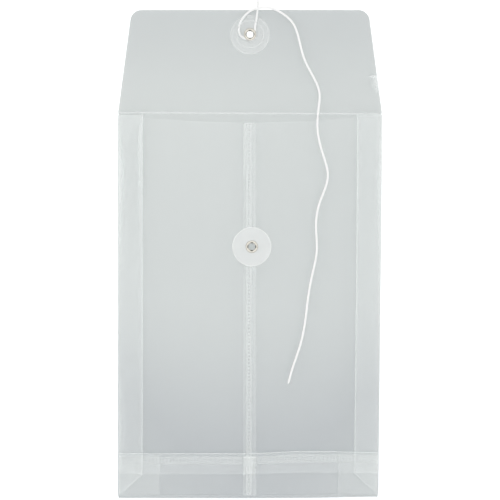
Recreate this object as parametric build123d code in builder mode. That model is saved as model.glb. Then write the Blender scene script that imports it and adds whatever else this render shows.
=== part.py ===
"""A clear plastic open-end envelope with side gussets, a block bottom and a button-and-string tie.

It lies flat on its back with the flap open. X runs to the right, Y from the bottom fold to the flap's
tip and Z up through the plies. The origin is under the middle of the sheet, on the table. All in mm.
"""

import os
from math import asin, degrees, pi, radians, tan

from build123d import *

# The film, and the air that springy folds leave between two plies
film = 0.2
ply_gap = 0.3

# The pocket
body_width = 158.8
body_height = 232.4
gusset_depth = 15.0
mouth_drop = 1.6
mouth_dip = 4.8
mouth_opening = 25.4

# The flap
flap_height = 61.7
flap_tip_width = 142.6
flap_corner_radius = 5.8

# The block bottom, folded flat behind the back panel
base_depth = 26.8
base_tab_length = 24.8

# The lapped and welded seam down the front
seam_lap = 7.9
seam_offset = -0.2
seam_edge_clearance = 0.2
seam_joggle = 0.6

# The two tie buttons: a disc outside the film, a washer inside it and a tubular eyelet through both
disc_diameter = 23.7
disc_thickness = 0.55
disc_edge_radius = 0.2
washer_diameter = 16.7
washer_thickness = 0.4
washer_edge_radius = 0.12
eyelet_bore = 4.2
eyelet_wall = 0.3
eyelet_flange_diameter = 7.5
eyelet_flange_thickness = 0.3
eyelet_lip_radius = 0.14
eyelet_fit = 0.1
button_play = 0.05
flap_button_rise = 46.9
front_button_drop = 80.9
front_button_offset = 1.1

# The tie string
string_diameter = 1.4
string_clearance = 0.1
knot_start_angle = 5
knot_turn_angle = -110

# Angles, and the share of a run that each bend of the string takes up
HALF_TURN = 180
UP, DOWN = 90, -90
pocket_relief_share = 1.25
bend_run_share = 0.45

# Plies, counted up from the table
pitch = film + ply_gap
rear_tab_z = 0
front_tab_z = rear_tab_z + pitch
side_tab_z = front_tab_z + pitch
corner_z = side_tab_z + pitch
rear_fold_z = corner_z + pitch
back_z = rear_fold_z + pitch
gusset_rear_z = back_z + pitch
gusset_front_z = gusset_rear_z + pitch
front_z = gusset_front_z + pitch
front_top_z = front_z + film

# Places along the length
bottom_y = -(body_height + flap_height) / 2
crease_y = bottom_y + body_height
tip_y = crease_y + flap_height
mouth_side_y = crease_y - mouth_drop
mouth_middle_y = mouth_side_y - mouth_dip
flap_button_y = crease_y + flap_button_rise
front_button_y = crease_y - front_button_drop

# Folds: the half ring of film that joins two plies, given by the middle of its thickness
fold_radius = pitch / 2
fold_reach = fold_radius + film / 2
side_x = body_width / 2
fold_x = side_x - fold_reach
gusset_x = side_x - gusset_depth
gusset_fold_x = gusset_x + fold_reach
rear_fold_y = bottom_y + base_depth / 2 + fold_reach
base_fold_radius = (rear_fold_z - rear_tab_z) / 2
base_fold_y = bottom_y + base_depth - base_fold_radius - film / 2
base_fold_mid_z = (rear_fold_z + rear_tab_z + film) / 2
bottom_fold_radius = (front_z - front_tab_z) / 2
bottom_fold_y = bottom_y + bottom_fold_radius + film / 2
bottom_fold_mid_z = (front_z + front_tab_z + film) / 2

# The front panel lifts about the bottom fold, which stops short of it by a little more than its swing
pocket_angle = degrees(asin(mouth_opening / (mouth_side_y - bottom_fold_y)))
pocket_relief = pocket_relief_share * pocket_angle

# The seam's two free edges
seam_left_x = seam_offset - seam_lap / 2
seam_right_x = seam_offset + seam_lap / 2

# Buttons, stacked out from the film
barrel_radius = eyelet_bore / 2 + eyelet_wall
hole_radius = barrel_radius + eyelet_fit
string_room = string_diameter + 2 * string_clearance
flap_disc_top_z = back_z - string_room
flap_disc_z = flap_disc_top_z - disc_thickness
flap_head_z = flap_disc_z - button_play - eyelet_flange_thickness
flap_washer_z = back_z + film
flap_clinch_z = flap_washer_z + washer_thickness
flap_clinch_top_z = flap_clinch_z + eyelet_flange_thickness
front_disc_z = front_top_z + film + button_play
front_head_z = front_disc_z + disc_thickness + button_play
front_head_top_z = front_head_z + eyelet_flange_thickness
front_washer_z = front_z - washer_thickness
front_clinch_z = front_washer_z - eyelet_flange_thickness

# Heights of the string's middle line: under the flap, on the table, on the flap and on the front panel
tucked = flap_disc_top_z + string_room / 2
table = string_diameter / 2 + string_clearance / 2
on_flap = back_z + film + string_diameter / 2 + string_clearance
on_front = front_top_z + string_diameter / 2 + string_clearance
knot_radius = barrel_radius + string_diameter / 2 + string_clearance

os.makedirs("parts", exist_ok=True)


def fold_section(across: float, height: float, radius: float, start: float, sweep_angle: float = HALF_TURN):
    """Adds to the sketch in hand the ring section of a fold about a point, from a start angle."""
    with BuildLine() as ring:
        outside = CenterArc((across, height), radius + film / 2, start, sweep_angle)
        inside = CenterArc((across, height), radius - film / 2, start, sweep_angle)
        Line(outside @ 0, inside @ 0)
        Line(outside @ 1, inside @ 1)
    make_face(ring.edges())


def ply_section(start: float, end: float, level: float):
    """Adds to the sketch in hand the section of a flat ply between two places, on its level."""
    with Locations(((start + end) / 2, level + film / 2)):
        Rectangle(abs(end - start), film)


def front_outline(left: float, right: float):
    """Adds to the sketch in hand the front panel's outline, with its dipped mouth, between two places."""
    with BuildLine() as outline:
        mouth = ThreePointArc((-fold_x, mouth_side_y), (0, mouth_middle_y), (fold_x, mouth_side_y))
        Polyline(mouth @ 0, (-fold_x, bottom_fold_y), (fold_x, bottom_fold_y), mouth @ 1)
    make_face(outline.edges())
    with Locations(((left + right) / 2, (bottom_fold_y + mouth_side_y) / 2)):
        Rectangle(right - left, mouth_side_y - bottom_fold_y, mode=Mode.INTERSECT)


def button_plane(across: float, along: float) -> Plane:
    """The upright plane through a button's middle, with Z up in it, for a section to be revolved."""
    return Plane(origin=(across, along, 0), x_dir=(1, 0, 0), z_dir=(0, -1, 0))


def ring_section(diameter: float, level: float, thickness: float):
    """Adds to the sketch in hand half the section of a flat ring that sits on an eyelet's barrel."""
    with Locations((hole_radius, level)):
        Rectangle(diameter / 2 - hole_radius, thickness, align=(Align.MIN, Align.MIN))


def eyelet_section(bottom: float, top: float):
    """Adds to the sketch in hand half the section of an eyelet: a barrel with a flange at each end."""
    flange_width = eyelet_flange_diameter / 2 - eyelet_bore / 2
    with Locations((eyelet_bore / 2, bottom)):
        Rectangle(eyelet_wall, top - bottom, align=(Align.MIN, Align.MIN))
        Rectangle(flange_width, eyelet_flange_thickness, align=(Align.MIN, Align.MIN))
    with Locations((eyelet_bore / 2, top)):
        Rectangle(flange_width, eyelet_flange_thickness, align=(Align.MIN, Align.MAX))


def bend_radii(route: list) -> list[float]:
    """The largest bend at each inner point of a route that leaves its two runs a straight middle."""
    points = [Vector(point) for point in route]
    radii = []
    for before, here, after in zip(points, points[1:], points[2:]):
        turn = radians((here - before).get_angle(after - here))
        shorter_run = min((here - before).length, (after - here).length)
        radii.append(bend_run_share * shorter_run / tan(turn / 2))
    return radii


# Back panel: one flat sheet from the flap's crease to the fold-back above the bottom
with BuildPart() as back_panel:
    with BuildSketch(Plane.XY.offset(back_z)):
        with Locations((0, (rear_fold_y + crease_y) / 2)):
            Rectangle(2 * fold_x, crease_y - rear_fold_y)
    extrude(amount=film)
back_panel.part.label = "back_panel"
export_step(back_panel.part, "parts/back_panel.step")

# Rear fold: the back panel turns under itself here and runs up to the base crease
with BuildPart() as rear_fold:
    with BuildSketch(Plane.YZ.offset(-fold_x)):
        fold_section(rear_fold_y, back_z + film / 2 - fold_radius, fold_radius, UP)
        ply_section(rear_fold_y, base_fold_y, rear_fold_z)
    extrude(amount=2 * fold_x)
rear_fold.part.label = "rear_fold"
export_step(rear_fold.part, "parts/rear_fold.step")

# Base rear tab: round the base crease and down over the other tabs, the ply that lies on the table
with BuildPart() as base_rear_tab:
    with BuildSketch(Plane.YZ.offset(-fold_x)):
        fold_section(base_fold_y, base_fold_mid_z, base_fold_radius, DOWN)
        ply_section(bottom_y + base_depth - base_tab_length, base_fold_y, rear_tab_z)
    extrude(amount=2 * fold_x)
base_rear_tab.part.label = "base_rear_tab"
export_step(base_rear_tab.part, "parts/base_rear_tab.step")

# Bottom fold: the front panel turns under here, the line that the pocket opens about
with BuildPart() as bottom_fold:
    with BuildSketch(Plane.YZ.offset(-fold_x)):
        fold_section(
            bottom_fold_y,
            bottom_fold_mid_z,
            bottom_fold_radius,
            UP + pocket_relief,
            HALF_TURN - pocket_relief,
        )
    extrude(amount=2 * fold_x)
bottom_fold.part.label = "bottom_fold"
export_step(bottom_fold.part, "parts/bottom_fold.step")

# Base front tab: the end of the front panel, tucked up behind
with BuildPart() as base_front_tab:
    with BuildSketch(Plane.YZ.offset(-fold_x)):
        ply_section(bottom_fold_y, bottom_y + base_tab_length, front_tab_z)
    extrude(amount=2 * fold_x)
base_front_tab.part.label = "base_front_tab"
export_step(base_front_tab.part, "parts/base_front_tab.step")

# Base side tabs and base corners: the ends of the gussets, folded in across the bottom
for side, sign in (("left", -1), ("right", 1)):
    with BuildPart() as base_side_tab:
        with BuildSketch(Plane.XY.offset(side_tab_z)):
            tab_end_x = side_x - base_tab_length
            with Locations((sign * (fold_x + tab_end_x) / 2, (bottom_fold_y + base_fold_y) / 2)):
                Rectangle(fold_x - tab_end_x, base_fold_y - bottom_fold_y)
        extrude(amount=film)
    base_side_tab.part.label = f"base_side_tab_{side}"
    export_step(base_side_tab.part, f"parts/base_side_tab_{side}.step")

    with BuildPart() as base_corner:
        with BuildSketch(Plane.XY.offset(corner_z)):
            with BuildLine():
                Polyline(
                    (sign * fold_x, bottom_fold_y),
                    (sign * fold_x, base_fold_y),
                    (sign * gusset_x, (bottom_fold_y + base_fold_y) / 2),
                    close=True,
                )
            make_face()
        extrude(amount=film)
    base_corner.part.label = f"base_corner_{side}"
    export_step(base_corner.part, f"parts/base_corner_{side}.step")

# Gussets: each side folds inwards in a V, a rear ply off the back panel and a front ply off the front
for side, sign, outward, inward in (("left", -1, UP, DOWN), ("right", 1, DOWN, UP)):
    with BuildPart() as gusset_rear:
        with BuildSketch(Plane.XZ.offset(-mouth_side_y)):
            fold_section(sign * fold_x, back_z + film / 2 + fold_radius, fold_radius, outward)
            ply_section(sign * fold_x, sign * gusset_fold_x, gusset_rear_z)
        extrude(amount=mouth_side_y - rear_fold_y)
    gusset_rear.part.label = f"gusset_{side}_rear"
    export_step(gusset_rear.part, f"parts/gusset_{side}_rear.step")

    with BuildPart() as gusset_front:
        with BuildSketch(Plane.XZ.offset(-mouth_side_y)):
            fold_section(sign * gusset_fold_x, gusset_rear_z + film / 2 + fold_radius, fold_radius, inward)
            ply_section(sign * gusset_fold_x, sign * fold_x, gusset_front_z)
            fold_section(sign * fold_x, gusset_front_z + film / 2 + fold_radius, fold_radius, outward)
        extrude(amount=mouth_side_y - bottom_fold_y)
        # Below the fold-back the ply narrows along a diagonal to the bottom corner
        with BuildSketch(Plane.XY.offset(gusset_rear_z)):
            with BuildLine():
                Polyline(
                    (sign * side_x, bottom_fold_y),
                    (sign * gusset_x, rear_fold_y),
                    (sign * gusset_x, bottom_fold_y),
                    close=True,
                )
            make_face()
        extrude(amount=front_top_z - gusset_rear_z, mode=Mode.SUBTRACT)
    gusset_front.part.label = f"gusset_{side}_front"
    export_step(gusset_front.part, f"parts/gusset_{side}_front.step")

# Front panel, left half: a flat sheet that ends under the seam
with BuildPart() as front_panel_left:
    with BuildSketch(Plane.XY.offset(front_z)):
        front_outline(-fold_x, seam_right_x)
        with Locations((front_button_offset, front_button_y)):
            Circle(hole_radius, mode=Mode.SUBTRACT)
    extrude(amount=film)
front_panel_left.part.label = "front_panel_left"
export_step(front_panel_left.part, "parts/front_panel_left.step")

# Front panel, right half: it steps up by one film and laps over the left half
with BuildPart() as front_panel_right:
    with BuildSketch(Plane.XZ.offset(-mouth_side_y)):
        with BuildLine():
            Polyline(
                (fold_x, front_z),
                (fold_x, front_top_z),
                (seam_right_x + seam_edge_clearance + seam_joggle, front_top_z),
                (seam_right_x + seam_edge_clearance, front_top_z + film),
                (seam_left_x, front_top_z + film),
                (seam_left_x, front_top_z),
                (seam_right_x + seam_edge_clearance, front_top_z),
                (seam_right_x + seam_edge_clearance + seam_joggle, front_z),
                close=True,
            )
        make_face()
    extrude(amount=mouth_side_y - bottom_fold_y)
    with BuildSketch(Plane.XY.offset(front_z)):
        front_outline(seam_left_x, fold_x)
        with Locations((front_button_offset, front_button_y)):
            Circle(hole_radius, mode=Mode.SUBTRACT)
    extrude(amount=2 * film, mode=Mode.INTERSECT)
front_panel_right.part.label = "front_panel_right"
export_step(front_panel_right.part, "parts/front_panel_right.step")

# Flap: a tapered sheet with rounded corners, creased off the back panel
with BuildPart() as flap_panel:
    with BuildSketch(Plane.XY.offset(back_z)) as flap_outline:
        with BuildLine():
            Polyline(
                (-side_x, crease_y),
                (side_x, crease_y),
                (flap_tip_width / 2, tip_y),
                (-flap_tip_width / 2, tip_y),
                close=True,
            )
        make_face()
        fillet(flap_outline.vertices().group_by(Axis.Y)[-1], flap_corner_radius)
        with Locations((0, flap_button_y)):
            Circle(hole_radius, mode=Mode.SUBTRACT)
    extrude(amount=film)
flap_panel.part.label = "flap_panel"
export_step(flap_panel.part, "parts/flap_panel.step")

# Buttons: the flap's faces the table and the front panel's faces up
for button, across, along, disc_z, washer_z, barrel_ends in (
    ("flap", 0, flap_button_y, flap_disc_z, flap_washer_z, (flap_head_z, flap_clinch_top_z)),
    (
        "front",
        front_button_offset,
        front_button_y,
        front_disc_z,
        front_washer_z,
        (front_clinch_z, front_head_top_z),
    ),
):
    spindle = Axis((across, along, 0), (0, 0, 1))

    with BuildPart() as disc:
        with BuildSketch(button_plane(across, along)) as disc_section:
            ring_section(disc_diameter, disc_z, disc_thickness)
            fillet(disc_section.vertices().group_by(Axis.X)[-1], disc_edge_radius)
        revolve(axis=spindle)
    disc.part.label = f"{button}_disc"
    export_step(disc.part, f"parts/{button}_disc.step")

    with BuildPart() as washer:
        with BuildSketch(button_plane(across, along)) as washer_section:
            ring_section(washer_diameter, washer_z, washer_thickness)
            fillet(washer_section.vertices().group_by(Axis.X)[-1], washer_edge_radius)
        revolve(axis=spindle)
    washer.part.label = f"{button}_washer"
    export_step(washer.part, f"parts/{button}_washer.step")

    with BuildPart() as eyelet:
        with BuildSketch(button_plane(across, along)) as eyelet_half:
            eyelet_section(*barrel_ends)
            fillet(eyelet_half.vertices().group_by(Axis.X)[-1], eyelet_lip_radius)
            fillet(eyelet_half.vertices().group_by(Axis.X)[0], eyelet_lip_radius)
        revolve(axis=spindle)
    eyelet.part.label = f"{button}_eyelet"
    export_step(eyelet.part, f"parts/{button}_eyelet.step")

# String: hitched round the flap's eyelet between disc and film, out over the flap's edge and down the front
with BuildPart() as string_knot:
    with BuildLine():
        hitch = CenterArc((0, flap_button_y, tucked), knot_radius, knot_start_angle, knot_turn_angle)
    with BuildSketch(Plane(hitch @ 0, z_dir=hitch % 0)):
        Circle(string_diameter / 2)
    sweep()
string_knot.part.label = "string_knot"
export_step(string_knot.part, "parts/string_knot.step")

upper_route = [
    hitch @ 1,
    (-5.3, 130.35, tucked),
    (-7.0, 134.6, tucked),
    (-6.0, 139.8, tucked),
    (-2.9, 144.1, tucked),
    (0.4, 146.8, tucked),
    (4.4, 148.7, 2.4),
    (9.2, 149.2, 3.0),
    (13.9, 148.5, 3.6),
    (18.6, 146.2, on_flap),
    (23.2, 143.0, on_flap),
    (26.4, 139.0, on_flap),
    (28.2, 134.2, on_flap),
    (29.9, 127.5, on_flap),
    (31.5, 120.4, on_flap),
    (34.2, 113.6, on_flap),
    (37.7, 107.4, on_flap),
    (40.6, 101.7, on_flap),
    (42.0, 96.8, on_flap),
    (41.8, 91.8, on_flap),
    (41.1, 87.0, 4.3),
    (40.7, 82.6, 4.8),
]
lower_route = [
    (40.7, 82.6, 4.8),
    (40.34, 78.64, 5.25),
    (40.7, 72.6, on_front),
    (41.9, 66.6, on_front),
    (43.7, 60.2, on_front),
    (45.7, 54.2, on_front),
    (46.9, 48.6, on_front),
    (46.5, 43.4, on_front),
    (44.4, 37.4, on_front),
    (42.0, 31.6, on_front),
    (40.2, 25.0, on_front),
    (39.5, 17.6, on_front),
    (40.0, 9.8, on_front),
    (40.3, 2.8, on_front),
    (39.3, -4.6, on_front),
    (37.3, -12.6, on_front),
    (35.7, -20.6, on_front),
    (34.5, -28.8, on_front),
    (33.6, -37.2, on_front),
    (32.3, -46.2, on_front),
    (30.1, -55.2, on_front),
    (27.1, -63.8, on_front),
    (24.6, -71.2, on_front),
    (23.0, -77.8, on_front),
]
tail_route = [
    hitch @ 0,
    (2.83, 136.6, tucked),
    (3.7, 140.6, tucked),
    (4.3, 144.9, 1.55),
    (4.65, 148.6, 0.85),
    (4.9, 152.6, table),
    (5.3, 157.0, table),
    (6.1, 161.4, table),
    (7.3, 165.4, table),
]
for stretch, route in (("upper", upper_route), ("lower", lower_route), ("tail", tail_route)):
    radii = bend_radii(route)
    with BuildPart() as string:
        with BuildLine():
            lie = FilletPolyline(*route, radius=radii)
        with BuildSketch(Plane(lie @ 0, z_dir=lie % 0)):
            Circle(string_diameter / 2)
        sweep()
    string.part.label = f"string_{stretch}"
    export_step(string.part, f"parts/string_{stretch}.step")
    swept_volume = pi * string_diameter**2 / 4 * lie.length
    print(f"string_{stretch} length {lie.length:.1f} bends", [round(radius, 1) for radius in radii])
    print(f"string_{stretch} volume over section times length {string.part.volume / swept_volume:.4f}")

print("flap axis", 0, round(crease_y, 3), round(front_top_z, 3))
print("pocket axis", 0, round(bottom_fold_y, 3), round(bottom_fold_mid_z, 3))
print("pocket angle", round(pocket_angle, 2))
print("flap button", 0, round(flap_button_y, 3))
print("front button", front_button_offset, round(front_button_y, 3))
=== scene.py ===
"""A clear string tie envelope, lying open on a white table and seen from straight above.

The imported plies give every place. The film is rebuilt as thin closed sheets that bend at the creases, the
welds as embossed strips, the eyelets as rolled rings and the string as a twisted cord. All lengths are in
metres.
"""

import logging
from dataclasses import dataclass
from enum import Enum
from math import pi, radians

import bpy
import numpy as np
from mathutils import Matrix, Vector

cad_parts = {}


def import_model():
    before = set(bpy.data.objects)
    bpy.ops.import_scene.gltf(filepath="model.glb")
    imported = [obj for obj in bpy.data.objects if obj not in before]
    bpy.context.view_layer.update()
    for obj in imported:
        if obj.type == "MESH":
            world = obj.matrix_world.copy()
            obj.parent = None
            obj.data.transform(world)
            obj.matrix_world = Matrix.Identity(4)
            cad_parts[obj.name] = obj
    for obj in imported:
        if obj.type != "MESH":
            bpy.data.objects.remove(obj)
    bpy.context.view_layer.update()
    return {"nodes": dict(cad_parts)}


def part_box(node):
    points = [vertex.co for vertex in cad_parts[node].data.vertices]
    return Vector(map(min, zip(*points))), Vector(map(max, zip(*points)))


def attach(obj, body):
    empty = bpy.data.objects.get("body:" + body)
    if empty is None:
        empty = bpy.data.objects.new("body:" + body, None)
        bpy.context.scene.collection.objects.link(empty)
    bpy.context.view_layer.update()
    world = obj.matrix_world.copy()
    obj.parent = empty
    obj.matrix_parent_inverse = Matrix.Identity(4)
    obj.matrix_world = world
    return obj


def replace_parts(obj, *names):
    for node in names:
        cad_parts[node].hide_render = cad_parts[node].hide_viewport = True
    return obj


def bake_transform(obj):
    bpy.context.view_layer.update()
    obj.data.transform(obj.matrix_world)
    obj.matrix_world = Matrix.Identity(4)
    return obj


MM = 0.001
LOG = logging.getLogger("envelope")
# The rear fold lies this much above its packed line, as photographed.
REAR_FOLD_RISE = 0.9 * MM
# The front seam's weld lies this much beside the lap's middle.
SEAM_WELD_OFFSET = -0.4 * MM
# Meshes: edges that stay sharp, points round a fold, places about a crease and the least gap between two.
SHARP_ANGLE = radians(40)
RING_POINTS = 13
FINE_PLACES = 9
LEAST_GAP_SHARE = 1 / 16
TINY = 1e-9
# How mirrors brighten towards the rim: the power of the facing angle's share.
MIRROR_POWER = 5


class Side(Enum):
    """The left or right side of the pocket, with the sign of its X."""

    LEFT = -1
    RIGHT = 1

    @property
    def word(self) -> str:
        """The side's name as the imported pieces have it."""
        return self.name.lower()


class Body(Enum):
    """The bodies that move against each other."""

    BACK = "back"
    FRONT = "front"
    FLAP = "flap"


def smoothstep(low: float, high: float, value: np.ndarray) -> np.ndarray:
    """Rises from 0 at low to 1 at high as 3t^2 - 2t^3."""
    t = np.clip((np.asarray(value) - low) / (high - low), 0, 1)
    return t * t * (3 - 2 * t)


def near(value: np.ndarray, line: float | np.ndarray, reach: float) -> np.ndarray:
    """A bell curve, 1 on a line and about a third at its reach: exp(-(distance / reach)^2)."""
    return np.exp(-(((value - line) / reach) ** 2))


def most(*values: np.ndarray) -> np.ndarray:
    """The greatest of several values, point by point."""
    return np.maximum.reduce(np.broadcast_arrays(*values))


def stations(start: float, end: float, step: float, *creases: float, reach: float = 1.2 * MM) -> np.ndarray:
    """Places along a sheet: an even step apart, with closer ones around each crease or cut edge.

    Args:
        start: First place.
        end: Last place.
        step: Usual distance between two places.
        creases: Places that need closer neighbours.
        reach: How far the closer neighbours go on each side.

    Returns:
        The places in rising order, with none almost on top of its neighbour.
    """
    even = np.linspace(start, end, max(2, int(round((end - start) / step)) + 1))
    fine = [crease + np.linspace(-reach, reach, FINE_PLACES) for crease in creases]
    places = np.unique(np.concatenate([even, *fine]))
    inside = places[(places >= start) & (places <= end)]
    return inside[np.concatenate([[True], np.diff(inside) > LEAST_GAP_SHARE * reach])]


def solid_between(top: np.ndarray, bottom: np.ndarray, kept: np.ndarray | None = None) -> tuple:
    """Closes the space between two grids of points: both faces, and a wall along every free edge.

    Args:
        top: Upper grid, rows by columns by 3, with X rising along a row and Y from row to row.
        bottom: Lower grid of the same shape.
        kept: Which cells of the grid are there. All of them, if not given.

    Returns:
        The points and the four-cornered faces, all facing outwards.
    """
    rows, columns = top.shape[:2]
    count = rows * columns
    index = np.arange(count).reshape(rows, columns)
    cells = np.stack([index[:-1, :-1], index[:-1, 1:], index[1:, 1:], index[1:, :-1]], -1)
    upper = cells.reshape(-1, 4) if kept is None else cells[kept]
    edges = np.stack([upper, np.roll(upper, -1, axis=1)], -1).reshape(-1, 2)
    free = edges[~np.isin(edges[:, 0] * count + edges[:, 1], edges[:, 1] * count + edges[:, 0])]
    walls = np.stack([free[:, 1], free[:, 0], free[:, 0] + count, free[:, 1] + count], -1)
    faces = np.concatenate([upper, upper[:, ::-1] + count, walls])
    return np.concatenate([top.reshape(-1, 3), bottom.reshape(-1, 3)]), faces


def thin_sheet(middle: np.ndarray, thickness: float, kept: np.ndarray | None = None) -> tuple:
    """Thickens a grid: each point goes half the thickness both ways along the surface's normal.

    Args:
        middle: The sheet's middle surface as a grid of points.
        thickness: The sheet's thickness.
        kept: Which cells of the grid are there.

    Returns:
        The points and faces of the closed sheet.
    """
    normal = np.cross(np.gradient(middle, axis=1), np.gradient(middle, axis=0))
    normal /= np.linalg.norm(normal, axis=2, keepdims=True)
    half = normal * thickness / 2
    return solid_between(middle + half, middle - half, kept)


def carried(profile: np.ndarray, along: np.ndarray, axis: int) -> np.ndarray:
    """Carries a profile of (place, height) pairs straight along an axis.

    Args:
        profile: Places and heights of the profile, one pair a row.
        along: Places along the axis.
        axis: 0 to carry it along X, 1 along Y.

    Returns:
        A grid of points, with X rising along a row where the profile's places rise.
    """
    places, heights = profile.T
    x, y = np.meshgrid(along, places) if axis == 0 else np.meshgrid(places, along)
    level = np.broadcast_to(heights[:, None] if axis == 0 else heights, x.shape)
    return np.stack([x, y, level], -1)


def half_ring(place: float, level: float, radius: float, start: float, turn: float) -> np.ndarray:
    """The profile of a fold: points on a circle about (place, level) from a start angle, in degrees."""
    angle = np.radians(start + np.linspace(0, turn, RING_POINTS))
    return np.stack([place + radius * np.cos(angle), level + radius * np.sin(angle)], -1)


def flat_run(places: np.ndarray, level: float) -> np.ndarray:
    """The profile of a flat ply: its places on one level."""
    return np.stack([places, np.full(len(places), level)], -1)


def flat_grid(x: np.ndarray, y: np.ndarray, level: float) -> np.ndarray:
    """The points of a flat ply: its plan on one level."""
    return np.stack([x, y, np.full_like(x, level)], -1)


def place_piece(
    name: str, points: np.ndarray, faces: np.ndarray | list, marks: dict[str, np.ndarray]
) -> bpy.types.Object:
    """Makes an object of points and faces, smooth but for its sharp edges.

    Args:
        name: The piece's name.
        points: Its points.
        faces: Its faces, as rows of point numbers.
        marks: Values for each point that its finish reads.

    Returns:
        The new object, at the origin.
    """
    used, renumbered = np.unique(np.concatenate([np.ravel(face) for face in faces]), return_inverse=True)
    ends = np.cumsum([len(face) for face in faces])[:-1]
    mesh = bpy.data.meshes.new(name)
    mesh.from_pydata(points[used].tolist(), [], [face.tolist() for face in np.split(renumbered, ends)])
    for mark, values in marks.items():
        layer = mesh.attributes.new(mark, "FLOAT", "POINT")
        layer.data.foreach_set("value", np.asarray(values, np.float32)[used])
    mesh.shade_smooth()
    mesh.set_sharp_from_angle(angle=SHARP_ANGLE)
    piece = bpy.data.objects.new(name, mesh)
    bpy.context.scene.collection.objects.link(piece)
    LOG.info("%s: %d points, %d faces", name, len(used), len(faces))
    return piece


class Term:
    """A value in a material, with which plain arithmetic adds Math nodes."""

    def __init__(self, finish: "Nodes", socket: bpy.types.NodeSocket):
        """Wraps a node's output."""
        self.finish = finish
        self.socket = socket

    def maths(self, operation: str, *values: "Term | float") -> "Term":
        """Adds a Math node that works on the given values in order."""
        node = self.finish.node("ShaderNodeMath", {"operation": operation}, dict(enumerate(values)))
        return Term(self.finish, node.outputs[0])

    def __add__(self, other: "Term | float") -> "Term":
        """self + other"""
        return self.maths("ADD", self, other)

    def __sub__(self, other: "Term | float") -> "Term":
        """self - other"""
        return self.maths("SUBTRACT", self, other)

    def __rsub__(self, other: float) -> "Term":
        """other - self"""
        return self.maths("SUBTRACT", other, self)

    def __mul__(self, other: "Term | float") -> "Term":
        """self * other"""
        return self.maths("MULTIPLY", self, other)

    def __truediv__(self, other: "Term | float") -> "Term":
        """self / other"""
        return self.maths("DIVIDE", self, other)

    def __pow__(self, other: float) -> "Term":
        """self to the power of other"""
        return self.maths("POWER", self, other)

    def capped(self, other: "Term | float") -> "Term":
        """The lesser of self and other"""
        return self.maths("MINIMUM", self, other)

    def raised(self, other: "Term | float") -> "Term":
        """The greater of self and other"""
        return self.maths("MAXIMUM", self, other)

    def eased(self, low: float, high: float) -> "Term":
        """Rises from 0 at low to 1 at high as 3t^2 - 2t^3"""
        t = ((self - low) / (high - low)).raised(0.0).capped(1.0)
        return t * t * (3 - 2 * t)

    __radd__ = __add__
    __rmul__ = __mul__


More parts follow.
